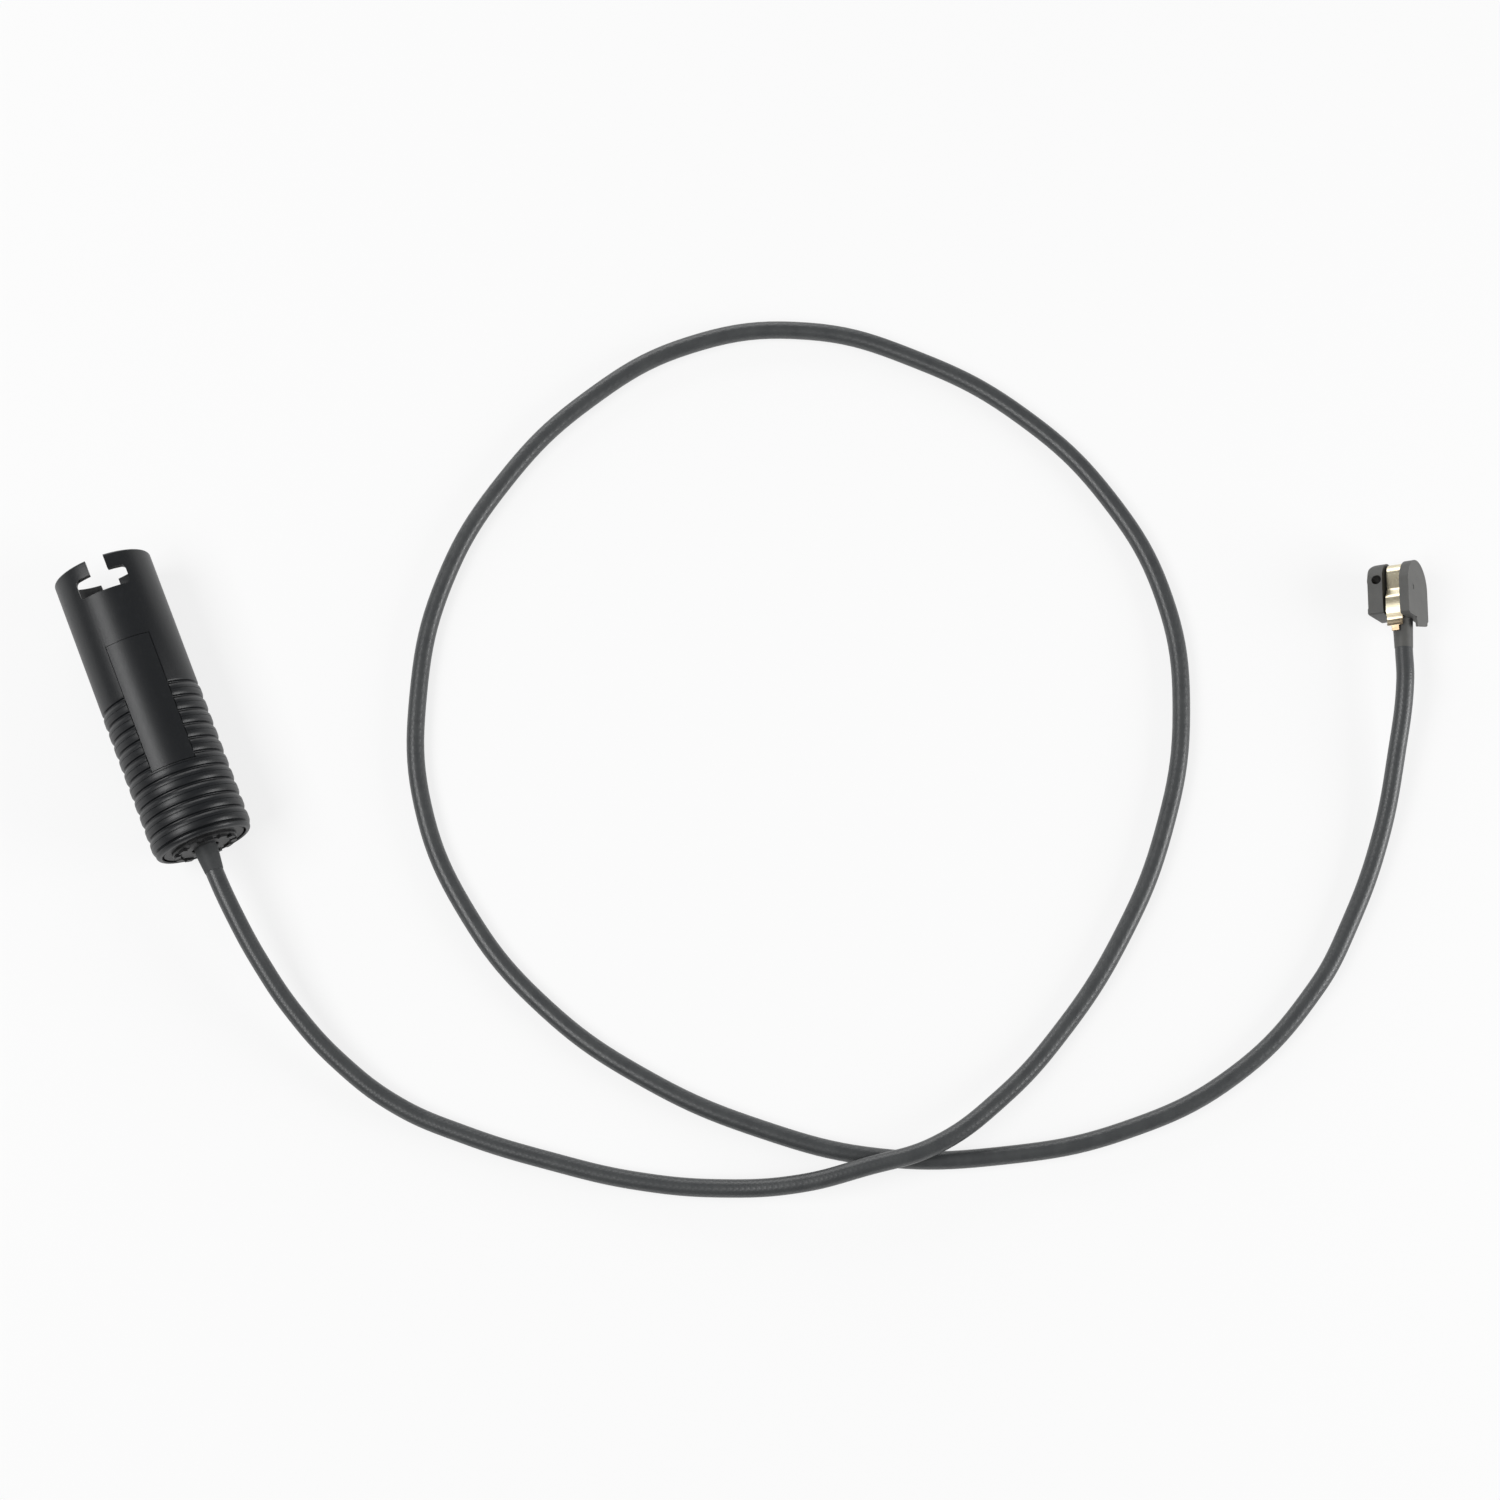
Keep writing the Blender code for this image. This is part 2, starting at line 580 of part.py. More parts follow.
def soften(piece):
    """Small bevel on the moulded edges, first in the stack."""
    bevel = piece.modifiers.new("edge", "BEVEL")
    bevel.width = HEAD_EDGE * MM
    bevel.segments = 2
    bevel.limit_method = "ANGLE"
    bevel.angle_limit = math.radians(50)


def loop_path(leg_end):
    """Middle line of the conductor loop: up one leg, across the tunnel and down the other leg."""
    side = LOOP_LEG_SPACING / 2
    a = TUNNEL_FROM_FACE
    v = TUNNEL_UP
    middle = neck_middle()
    leg = [
        (middle, -leg_end, side), (middle, 1.5, side), (middle - 0.35, 3.0, side), (middle - 1.1, 4.6, side),
        (middle - 2.2, 6.2, side), (a + 1.4, v - 0.4, side), (a + 0.6, v - 0.05, 0.8 * side),
        (a + 0.15, v, 0.45 * side),
    ]
    return leg + [(x, y, -z) for x, y, z in reversed(leg)]


def clip_stations():
    """Middle line and side edges of the spring strip, from the crown down one leg: (b, v, low a, high a)."""
    low = TIP_THICKNESS + FIT
    high = TIP_THICKNESS + CHANNEL - FIT
    fold = CORE_HALF_WIDTH + FIT + STRIP_THICKNESS / 2
    centre = CORE_TOP - CORE_HALF_WIDTH
    line = [*arc((0, centre), fold, 90, 0, 6), (fold, centre - 3.4), (fold + 0.25, centre - 3.8)]
    line += [(STRIP_BULGE - 0.3, centre - 4.9), (STRIP_BULGE, centre - 5.3), (STRIP_BULGE, 1.5)]
    line += [(STRIP_BULGE - 0.1, 0.9), (STRIP_PINCH + 0.1, 0.3), (STRIP_PINCH, -0.4)]
    line += [(STRIP_PINCH + 0.15, -1.1), (STRIP_PINCH + 0.2, -1.5)]
    stations = [(b, v, low, high) for b, v in line]
    tongue = neck_middle() - STRIP_TONGUE_SHIFT - STRIP_TONGUE_WIDTH / 2
    tongue_end = tongue + STRIP_TONGUE_WIDTH
    for b, v in ((STRIP_PINCH + 0.15, -1.65), (STRIP_PINCH + 0.05, STRIP_BARB_AT), (STRIP_PINCH, -2.7)):
        stations.append((b, v, tongue, tongue_end))
    return stations


def build_clip(material, parent):
    """Spring strip folded over the core, with a barb on the lower leg's tongue."""
    near = clip_stations()
    far = [(-b, v, low, high) for b, v, low, high in near[1:]]
    barb = next(index for index, station in enumerate(far) if station[1] == STRIP_BARB_AT)
    b, v, low, high = far[barb]
    far[barb] = (b, v, low - STRIP_BARB, high)
    stations = near[::-1] + far
    form = bmesh.new()
    rings = []
    for index, (b, v, low, high) in enumerate(stations):
        last = stations[max(index - 1, 0)]
        following = stations[min(index + 1, len(stations) - 1)]
        along = Vector((following[0] - last[0], following[1] - last[1])).normalized()
        out = Vector((-along.y, along.x)) * STRIP_THICKNESS / 2
        corners = ((low, -1), (high, -1), (high, 1), (low, 1))
        rings.append([form.verts.new((a, v + sign * out.y, b + sign * out.x)) for a, sign in corners])
    for ring, following in zip(rings, rings[1:]):
        for index in range(4):
            form.faces.new((ring[index], ring[(index + 1) % 4], following[(index + 1) % 4], following[index]))
    form.faces.new(rings[0])
    form.faces.new(rings[-1])
    add_piece("retaining_clip", mesh_from("retaining_clip", form), material, parent)


def main():
    for old in list(bpy.data.objects):
        bpy.data.objects.remove(old)

    black = make_material("connector_black", (0.018, 0.019, 0.022), 0.42)
    inner_black = make_material("carrier_black", (0.012, 0.012, 0.014), 0.5)
    seal_rubber = make_material("seal_rubber", (0.02, 0.021, 0.022), 0.65)
    contact_metal = make_material("contact_metal", (0.62, 0.58, 0.47), 0.3, 1.0)
    core_green = make_material("core_insulation", (0.05, 0.05, 0.05), 0.5)
    cable_grey = make_material("cable_jacket", (0.06, 0.068, 0.066), 0.55)
    head_grey = make_material("head_plastic", (0.115, 0.115, 0.11), 0.5)
    clip_metal = make_material("clip_metal", (0.72, 0.66, 0.47), 0.28, 1.0)
    loop_metal = make_material("loop_copper", (0.62, 0.36, 0.2), 0.35, 1.0)

    connector = bpy.data.objects.new("connector_axis", None)
    bpy.context.collection.objects.link(connector)
    rear = CONNECTOR_Y - HOUSING_LENGTH / 2
    connector.location = (CONNECTOR_X * MM, rear * MM, (HOUSING_RADIUS + RIB_CROWN) * MM)
    connector.rotation_euler = (math.radians(-90), 0, 0)

    head = bpy.data.objects.new("head_place", None)
    bpy.context.collection.objects.link(head)
    place = head_matrix()
    head.location = place.translation * MM
    head.rotation_euler = (0, -HEAD_ROLL, -HEAD_TURN)

    build_housing(black, connector)
    build_retainer(black, connector)
    build_grommet(seal_rubber, connector)
    build_carrier(inner_black, seal_rubber, connector)
    build_contacts(contact_metal, core_green, connector)
    build_cable(cable_grey)
    build_head(head_grey, head)
    build_clip(clip_metal, head)
    tube("sensing_loop", loop_path(NECK_LENGTH - FIT), LOOP_DIAMETER / 2, 2, loop_metal, head)


main()
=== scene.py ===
"""Brake pad wear sensor on a plain white table: camera, cable, connector and sensor head."""

import json
import math

import bmesh
import bpy
from mathutils import Matrix, Vector


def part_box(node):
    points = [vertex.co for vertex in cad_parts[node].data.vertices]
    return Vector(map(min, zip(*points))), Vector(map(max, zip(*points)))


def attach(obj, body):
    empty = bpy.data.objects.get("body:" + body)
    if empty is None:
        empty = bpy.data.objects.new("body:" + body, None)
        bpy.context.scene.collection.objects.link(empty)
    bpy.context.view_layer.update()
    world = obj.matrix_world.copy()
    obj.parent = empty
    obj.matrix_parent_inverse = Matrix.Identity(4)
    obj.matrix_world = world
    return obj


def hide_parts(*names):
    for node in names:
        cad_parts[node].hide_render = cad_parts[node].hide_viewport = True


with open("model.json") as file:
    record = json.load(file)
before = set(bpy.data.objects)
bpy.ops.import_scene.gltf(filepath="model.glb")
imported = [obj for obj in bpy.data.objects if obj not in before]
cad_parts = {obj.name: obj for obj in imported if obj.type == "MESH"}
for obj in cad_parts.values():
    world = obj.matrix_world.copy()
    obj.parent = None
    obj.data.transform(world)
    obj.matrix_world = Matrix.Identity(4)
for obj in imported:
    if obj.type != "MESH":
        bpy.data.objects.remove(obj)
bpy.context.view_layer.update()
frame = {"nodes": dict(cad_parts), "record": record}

# Camera
# The photograph looks down at the sensor from a little off vertical, and from its lower edge.
# The frame is turned against the connector's axis, so the connector leans to the left.
VIEW_TILT = math.radians(12.7)
VIEW_TURN = math.radians(-21.85)
VIEW_DISTANCE = 0.720
VIEW_MIDDLE = Vector((-0.0112, -0.0252, 0))
LENS = 83.5

view_turn = Matrix.Rotation(VIEW_TURN, 4, "Z") @ Matrix.Rotation(VIEW_TILT, 4, "X")
camera_data = bpy.data.cameras.new("camera")
camera_data.lens = LENS
camera_data.sensor_width = 36
camera_data.clip_start = 0.01
camera = bpy.data.objects.new("camera", camera_data)
bpy.context.collection.objects.link(camera)
camera.matrix_world = Matrix.Translation(VIEW_MIDDLE) @ view_turn @ Matrix.Translation((0, 0, VIEW_DISTANCE))
bpy.context.scene.camera = camera
bpy.context.scene.view_settings.view_transform = "Standard"


# Cable
# One round two-core cable with a soft dark grey jacket, whose surface keeps the print of its braid.
# It leaves the connector's collar, sinks to the table, crosses over itself once and rises to the head.
class Flow:
    """A value in a material's nodes, which can be used in sums."""

    def __init__(self, tree, socket):
        self.tree = tree
        self.socket = socket

    def math(self, operation, *others):
        values = dict(enumerate((self, *others)))
        return node(self.tree, "ShaderNodeMath", {"operation": operation}, values)

    def __add__(self, other):
        return self.math("ADD", other)

    def __sub__(self, other):
        return self.math("SUBTRACT", other)

    def __mul__(self, other):
        return self.math("MULTIPLY", other)

    def __rsub__(self, other):
        return node(self.tree, "ShaderNodeMath", {"operation": "SUBTRACT"}, {0: other, 1: self})

    __radd__ = __add__
    __rmul__ = __mul__


def node(tree, kind, settings, values, output=0):
    """One node with its settings, such as an operation, and its values or links."""
    made = tree.nodes.new(kind)
    for name, setting in settings.items():
        setattr(made, name, setting)
    for name, value in values.items():
        if isinstance(value, Flow):
            tree.links.new(value.socket, made.inputs[name])
        else:
            made.inputs[name].default_value = value
    return Flow(tree, made.outputs[output])


def finish(name, **constants):
    """A material with its surface shader, for the looks of one kind of piece."""
    material = bpy.data.materials.new(name)
    material.use_nodes = True
    surface = material.node_tree.nodes["Principled BSDF"]
    for key, value in constants.items():
        surface.inputs[key.replace("_", " ").title().replace("Ior", "IOR")].default_value = value
    return material, material.node_tree, surface


def feed(surface, name, flow):
    """Links a flow to one of the surface's sockets."""
    flow.tree.links.new(flow.socket, surface.inputs[name])


def mixed(mask, low, high):
    """One colour where the mask is 0 and another where it is 1. Either may come from other nodes."""
    values = {0: mask}
    for entry, colour in ((6, low), (7, high)):
        values[entry] = colour if isinstance(colour, Flow) else (*colour, 1)
    return node(mask.tree, "ShaderNodeMix", {"data_type": "RGBA"}, values, 2)


def bumped(surface, height, strength, depth):
    """Bump from a height in units of depth, in metres."""
    values = {"Strength": strength, "Distance": depth, "Height": height}
    feed(surface, "Normal", node(height.tree, "ShaderNodeBump", {}, values))


CABLE_DIAMETER = 0.0037
CABLE_LENGTH = 0.870
LIE = 0.00195
OVER = 0.00595
CABLE_ROUTE = [
    (-0.1213, -0.0206, 0.0097), (-0.1199, -0.0309, 0.0082), (-0.1172, -0.0426, 0.0063),
    (-0.1123, -0.0552, 0.0043), (-0.1047, -0.0675, 0.0028), (-0.0944, -0.0778, 0.0021),
    (-0.0800, -0.0894, LIE), (-0.0654, -0.0995, LIE), (-0.0496, -0.1075, 0.0025),
    (-0.0352, -0.1124, 0.0044), (-0.0219, -0.1143, OVER), (-0.0074, -0.1155, OVER),
    (0.0085, -0.1115, 0.0039), (0.0249, -0.1037, 0.0022), (0.0439, -0.0905, LIE),
    (0.0610, -0.0732, LIE), (0.0743, -0.0517, LIE), (0.0808, -0.0279, LIE),
    (0.0785, -0.0033, LIE), (0.0687, 0.0201, LIE), (0.0534, 0.0394, LIE),
    (0.0338, 0.0544, LIE), (0.0094, 0.0608, LIE), (-0.0151, 0.0574, LIE),
    (-0.0377, 0.0473, LIE), (-0.0570, 0.0317, LIE), (-0.0707, 0.0110, LIE),
    (-0.0782, -0.0116, LIE), (-0.0775, -0.0366, LIE), (-0.0698, -0.0601, LIE),
    (-0.0560, -0.0813, LIE), (-0.0384, -0.0991, LIE), (-0.0187, -0.1131, LIE),
    (0.0046, -0.1221, LIE), (0.0292, -0.1266, LIE), (0.0544, -0.1246, LIE),
    (0.0769, -0.1145, LIE), (0.0886, -0.1050, 0.0020), (0.1016, -0.0910, 0.0027),
    (0.1117, -0.0760, 0.0045),
]
COLLAR_LENGTH = 0.0044
NECK_LENGTH = 0.006
NECK_FROM_FACE = 0.00585
TIP_THICKNESS = 0.0034
CHANNEL = 0.004

sleeve_low, sleeve_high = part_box("connector_housing")
sleeve_length = sleeve_high[1] - sleeve_low[1]
axis_x = (sleeve_low[0] + sleeve_high[0]) / 2
axis_z = (sleeve_high[0] - sleeve_low[0]) / 2
along_axis = Matrix.Rotation(math.radians(-90), 4, "X")
connector_place = Matrix.Translation((axis_x, sleeve_low[1], axis_z)) @ along_axis

flange_seat = next(mount for mount in frame["record"]["mounts"] if mount["name"] == "flange_seat")
through = -Vector(flange_seat["axis"]).normalized()
upward = Vector((0, 0, 1)).cross(through).normalized()
outward = through.cross(upward)
head_turn = Matrix((through, upward, outward)).transposed()
SEAT_POINT = Vector((TIP_THICKNESS + CHANNEL, 0.00757, 0.00336))
head_place = Matrix.Translation(Vector(flange_seat["pos_m"]) - head_turn @ SEAT_POINT) @ head_turn.to_4x4()

collar_end = Vector((axis_x, sleeve_low[1] - COLLAR_LENGTH, axis_z))
cable_run = [Vector((axis_x, sleeve_low[1] + along, axis_z)) for along in (0.006, -0.001)] + [collar_end]
cable_run += [Vector(point) for point in CABLE_ROUTE]
for drop in (NECK_LENGTH + 0.007, NECK_LENGTH, NECK_LENGTH - 0.004):
    cable_run.append(head_place @ Vector((NECK_FROM_FACE, -drop, 0)))

cable_line = bpy.data.curves.new("cable_jacket", "CURVE")
cable_line.dimensions = "3D"
cable_line.bevel_depth = CABLE_DIAMETER / 2
cable_line.bevel_resolution = 6
cable_line.resolution_u = 10
cable_line.use_fill_caps = True
spline = cable_line.splines.new("BEZIER")
spline.bezier_points.add(len(cable_run) - 1)
for knot, point in zip(spline.bezier_points, cable_run):
    knot.co = point
    knot.handle_left_type = "AUTO"
    knot.handle_right_type = "AUTO"
cable = bpy.data.objects.new("cable_jacket", cable_line)
bpy.context.collection.objects.link(cable)

BRAID_PITCH = 0.0015
BRAID_STARTS = 8
JACKET_DARK = (0.034, 0.036, 0.039)
JACKET_PALE = (0.088, 0.093, 0.092)

jacket, tree, surface = finish("cable jacket", specular_ior_level=0.6)
own_place = node(tree, "ShaderNodeTexCoord", {}, {}, "UV")
across = node(tree, "ShaderNodeSeparateXYZ", {}, {0: own_place}, "Y") * (BRAID_STARTS * math.tau)
along = node(tree, "ShaderNodeSeparateXYZ", {}, {0: own_place}, "X") * (CABLE_LENGTH / BRAID_PITCH * math.tau)
weave = ((along + across) * 0.5).math("SINE") * ((along - across) * 0.5).math("SINE")
crowns = weave.math("ABSOLUTE").math("POWER", 1.6)
place = node(tree, "ShaderNodeTexCoord", {}, {}, "Object")
blotches = node(tree, "ShaderNodeTexNoise", {}, {"Vector": place, "Scale": 330.0, "Detail": 4.0})
tone = crowns * 0.22 * blotches + blotches * 0.6
feed(surface, "Base Color", mixed(tone, JACKET_DARK, JACKET_PALE))
feed(surface, "Roughness", 0.42 - crowns * 0.1)
bumped(surface, crowns, 0.35, 0.00005)
cable_line.materials.append(jacket)
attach(cable, "root")
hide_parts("cable")


# Connector housing
# Injection-moulded sleeve of semi-matte black plastic: grip rings round its rear half, a smooth
# panel on top with a fine cut line round it, and two T-shaped slots that lock the mating plug.
def spun(name, outline, sides):
    """A closed outline of (radius, height) spun round the local Z axis."""
    form = bmesh.new()
    points = [form.verts.new((radius, 0, height)) for radius, height in outline]
    edges = [form.edges.new(pair) for pair in zip(points, points[1:] + points[:1])]
    bmesh.ops.spin(
        form, geom=points + edges, cent=(0, 0, 0), axis=(0, 0, 1), angle=math.tau, steps=sides, use_merge=True
    )
    bmesh.ops.remove_doubles(form, verts=form.verts, dist=1e-7)
    bmesh.ops.recalc_face_normals(form, faces=form.faces)
    mesh = bpy.data.meshes.new(name)
    form.to_mesh(mesh)
    form.free()
    return mesh


def raised(name, outline, start, end, axes):
    """A flat outline raised from start to end; axes names the outline's two axes and the height's."""
    order = ["xyz".index(axis) for axis in axes]
    form = bmesh.new()
    corners = []
    for first, second in outline:
        place = [0, 0, 0]
        place[order[0]], place[order[1]], place[order[2]] = first, second, start
        corners.append(form.verts.new(place))
    walls = bmesh.ops.extrude_face_region(form, geom=[form.faces.new(corners)])
    lift = [0, 0, 0]
    lift[order[2]] = end - start
    bmesh.ops.translate(form, verts=[v for v in walls["geom"] if isinstance(v, bmesh.types.BMVert)], vec=lift)
    bmesh.ops.recalc_face_normals(form, faces=form.faces)
    mesh = bpy.data.meshes.new(name)
    form.to_mesh(mesh)
    form.free()
    return mesh


def bow(middle, radius, start, end, steps):
    """Points along an arc, with angles in degrees."""
    turns = [math.radians(start + (end - start) * step / steps) for step in range(steps + 1)]
    return [(middle[0] + radius * math.cos(turn), middle[1] + radius * math.sin(turn)) for turn in turns]


def put(name, mesh, place=None):
    """An object for a mesh, at the origin, with its place in the mesh."""
    if place:
        mesh.transform(place)
    piece = bpy.data.objects.new(name, mesh)
    bpy.context.collection.objects.link(piece)
    return piece


def carved(piece, tools):
    """Cuts or joins other meshes one by one, bakes the result into the piece's mesh and drops the tools."""
    for mesh, operation in tools:
        tool = put(mesh.name, mesh)
        modifier = piece.modifiers.new(mesh.name, "BOOLEAN")
        modifier.operation = operation
        modifier.solver = "EXACT"
        modifier.object = tool
        shapes = bpy.context.evaluated_depsgraph_get()
        piece.data = bpy.data.meshes.new_from_object(piece.evaluated_get(shapes))
        piece.modifiers.clear()
        bpy.data.objects.remove(tool)
    return piece


def rounded(piece, width, segments=2, angle=35):
    """Soft moulded edges and smooth faces."""
    if width:
        bevel = piece.modifiers.new("edge", "BEVEL")
        bevel.width = width
        bevel.segments = segments
        bevel.limit_method = "ANGLE"
        bevel.angle_limit = math.radians(angle)
        bevel.harden_normals = True
    piece.data.shade_smooth()
    piece.data.set_sharp_from_angle(angle=math.radians(angle))
    return piece


def dress(piece, material, slot, *nodes):
    """Finish, body and the CAD nodes that the piece stands for; the slot is not used."""
    piece.data.materials.clear()
    piece.data.materials.append(material)
    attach(piece, "root")
    if nodes:
        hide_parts(*nodes)


SLEEVE_RADIUS = 0.01025
MOUTH_BORE = 0.00875
MOUTH_DEPTH = 0.0135
SHOULDER_LENGTH = 0.0018
SHOULDER_OVERLAP = 0.0012
CARRIER_BORE = 0.0085
RETAINER_BORE = 0.0089
RETAINER_SEAT = 0.0067
RING_COUNT = 10
RING_PITCH = 0.0031
RING_START = 0.0025
REAR_END = 0.0014
GROOVE_DEPTH = 0.0006
RING_CROWN = 0.00012
FINE_LINE_PLACE = 0.53
FINE_LINE_DEPTH = 0.00011
LIP_INSET = 0.00025
LIP_ROUND = 0.0009
PANEL_FROM_MOUTH = 0.0186
PANEL_LENGTH = 0.0279
PANEL_HALF_ANGLE = 26.5
PANEL_TURN = 3.5
PANEL_RISE = 0.00013
PANEL_LINE = 0.0002
PANEL_LINE_DEPTH = 0.0002
FACES_UP = 270
STEM_WIDTH = 0.00385
STEM_DEPTH = 0.0032
BAR_WIDTH = 0.0106
BAR_DEPTH = 0.0041
BAR_CORNER = 0.0008
SLEEVE_SIDES = 112

shoulder = sleeve_length - MOUTH_DEPTH
valley = SLEEVE_RADIUS - GROOVE_DEPTH
crest = SLEEVE_RADIUS + RING_CROWN
fine_floor = crest - FINE_LINE_DEPTH
outline = bow((SLEEVE_RADIUS - LIP_INSET - LIP_ROUND, REAR_END + LIP_ROUND), LIP_ROUND, -90, 0, 7)
for ring in range(RING_COUNT + 1):
    groove = RING_START + ring * RING_PITCH
    for side in (-1, 1):
        flank = [
            (SLEEVE_RADIUS - 0.00002, 0.00055), (SLEEVE_RADIUS - 0.0001, 0.00034), (valley + 0.00006, 0.0002),
            (valley, 0.00012),
        ]
        if ring or side == 1:
            outline += [(radius, groove + side * reach) for radius, reach in flank[::-side]]
    if ring < RING_COUNT:
        fine = groove + FINE_LINE_PLACE * RING_PITCH
        outline += [(crest - 0.00004, groove + 0.0008), (crest, groove + 0.0011)]
        outline += [(crest, fine - 0.00012), (fine_floor, fine - 0.00003)]
        outline += [(fine_floor, fine + 0.00003), (crest, fine + 0.00012)]
        outline += [(crest, groove + 0.0021), (crest - 0.00004, groove + 0.0024)]
outline += [(SLEEVE_RADIUS, RING_START + RING_COUNT * RING_PITCH + 0.0006)]
outline += bow((SLEEVE_RADIUS - 0.00045, sleeve_length - 0.00045), 0.00045, 0, 90, 5)
outline += bow((MOUTH_BORE + 0.00015, sleeve_length - 0.00015), 0.00015, 90, 180, 2)
outline += [
    (MOUTH_BORE, shoulder), (CARRIER_BORE - SHOULDER_OVERLAP, shoulder),
    (CARRIER_BORE - SHOULDER_OVERLAP, shoulder - SHOULDER_LENGTH), (CARRIER_BORE, shoulder - SHOULDER_LENGTH),
    (CARRIER_BORE, RETAINER_SEAT), (RETAINER_BORE, RETAINER_SEAT), (RETAINER_BORE, REAR_END + 0.0002),
    (RETAINER_BORE + 0.0002, REAR_END),
]
housing = put("connector_sleeve", spun("connector_sleeve", outline, SLEEVE_SIDES))

panel_end = sleeve_length - PANEL_FROM_MOUTH
panel_start = panel_end - PANEL_LENGTH
panel_left = FACES_UP + PANEL_TURN - PANEL_HALF_ANGLE
panel_right = FACES_UP + PANEL_TURN + PANEL_HALF_ANGLE


def skin_block(name, left, right, rise, depth, start, end):
    """A curved block in the sleeve's skin, between two angles and two places along it."""
    block = bow((0, 0), SLEEVE_RADIUS + rise, left, right, 18)
    block += bow((0, 0), SLEEVE_RADIUS - depth, right, left, 18)
    return raised(name, block, start, end, "xyz")


edge_turn = math.degrees(PANEL_LINE / 2 / SLEEVE_RADIUS)
edge_reach = PANEL_LINE / 2
panel = skin_block("panel", panel_left, panel_right, PANEL_RISE, 2 * GROOVE_DEPTH, panel_start, panel_end)
tools = [(panel, "UNION")]
for side in (panel_left, panel_right):
    line = skin_block(
        "line", side - edge_turn, side + edge_turn, 0.001, PANEL_LINE_DEPTH, panel_start - edge_reach,
        panel_end + edge_reach,
    )
    tools.append((line, "DIFFERENCE"))
for end in (panel_start, panel_end):
    line = skin_block(
        "line", panel_left + 0.4 * edge_turn, panel_right - 0.4 * edge_turn, 0.001, 0.97 * PANEL_LINE_DEPTH,
        end - 0.96 * edge_reach, end + 0.96 * edge_reach,
    )
    tools.append((line, "DIFFERENCE"))

half_bar = BAR_WIDTH / 2
bar_top = sleeve_length - STEM_DEPTH
bar_bottom = bar_top - BAR_DEPTH
right = [(STEM_WIDTH / 2, sleeve_length + 0.001), (STEM_WIDTH / 2, bar_top)]
right += bow((half_bar - BAR_CORNER, bar_top - BAR_CORNER), BAR_CORNER, 90, 0, 6)
right += bow((half_bar - BAR_CORNER, bar_bottom + BAR_CORNER), BAR_CORNER, 0, -90, 6)
slot = right + [(-across_slot, up) for across_slot, up in reversed(right)]
tools.append((raised("slot", slot, -0.013, 0.013, "xzy"), "DIFFERENCE"))
carved(housing, tools)
housing.data.transform(connector_place)
rounded(housing, 0.0001, 2, 60)
housing.data.set_sharp_from_angle(angle=math.radians(38))

PLASTIC_DARK = (0.0045, 0.0054, 0.0066)
PLASTIC_PALE = (0.012, 0.0136, 0.0158)


def moulded_black(name, dark, pale, roughness):
    """Spark-eroded black plastic: fine grain, faint flow clouds and a few rubbed places."""
    material, tree, surface = finish(name, specular_ior_level=0.5)
    place = node(tree, "ShaderNodeTexCoord", {}, {}, "Object")
    clouds = node(tree, "ShaderNodeTexNoise", {}, {"Vector": place, "Scale": 90.0, "Detail": 4.0})
    grain = node(tree, "ShaderNodeTexNoise", {}, {"Vector": place, "Scale": 5200.0, "Detail": 2.0})
    rubs = node(tree, "ShaderNodeTexNoise", {}, {"Vector": place, "Scale": 900.0, "Detail": 6.0})
    rubbed = node(tree, "ShaderNodeMapRange", {}, {"Value": rubs, "From Min": 0.6, "From Max": 0.78})
    tone = clouds * 0.6 + rubbed * 0.25 + grain * 0.15
    feed(surface, "Base Color", mixed(tone, dark, pale))
    feed(surface, "Roughness", roughness + (grain - 0.5) * 0.22 + rubbed * 0.06)
    bumped(surface, grain, 0.35, 0.00003)
    return material


connector_black = moulded_black("connector black", PLASTIC_DARK, PLASTIC_PALE, 0.4)
dress(housing, connector_black, "connector_black", "connector_housing")


# Rear retainer
# Black disc that snaps into the rear end and holds the cable seal: its hub stands a little proud of
# the sleeve, with a ring of small snap tabs round its rim.
FIT = 0.0003
RETAINER_FACE = REAR_END + 0.0003
HUB_RADIUS = 0.00685
HUB_RISE = 0.0009
HUB_HOLE = 0.0028
TAB_COUNT = 12
TAB_WIDTH = 0.0017
TAB_DEPTH = 0.0012
TAB_RISE = 0.00035
TAB_INSET = 0.00025

rim = RETAINER_BORE - FIT
hub_face = RETAINER_FACE - HUB_RISE
outline = [(HUB_HOLE, RETAINER_SEAT - FIT), (HUB_HOLE, hub_face + 0.0002), (HUB_HOLE + 0.0002, hub_face)]
step_in = HUB_RADIUS - TAB_DEPTH - 0.0004
outline += [(step_in - 0.0002, hub_face), (step_in, hub_face + 0.00025)]
outline += [(HUB_RADIUS - 0.0003, hub_face + 0.00025), (HUB_RADIUS, hub_face + 0.0005)]
outline += [(HUB_RADIUS, RETAINER_FACE), (rim - 0.0002, RETAINER_FACE)]
outline += [(rim, RETAINER_FACE + 0.0002), (rim, RETAINER_SEAT - FIT)]
retainer = put("rear_disc", spun("rear_disc", outline, 96))
outer = HUB_RADIUS - TAB_INSET
half = TAB_WIDTH / 2
tools = []
for tab in range(TAB_COUNT):
    rounded_side = [(half * 1.05, outer - 0.0001), (0, outer), (-half * 1.05, outer - 0.0001)]
    block = [(-half, outer - TAB_DEPTH), (half, outer - TAB_DEPTH), *rounded_side]
    mesh = raised("tab", block, hub_face - TAB_RISE, RETAINER_FACE, "xyz")
    mesh.transform(Matrix.Rotation((tab + 0.5) * math.tau / TAB_COUNT, 4, "Z"))
    tools.append((mesh, "UNION"))
carved(retainer, tools)
retainer.data.transform(connector_place)
rounded(retainer, 0.00008, 2, 40)
inner_black = moulded_black("inner black", (0.004, 0.0043, 0.005), (0.01, 0.0105, 0.0115), 0.52)
dress(retainer, inner_black, "carrier_black", "rear_retainer")


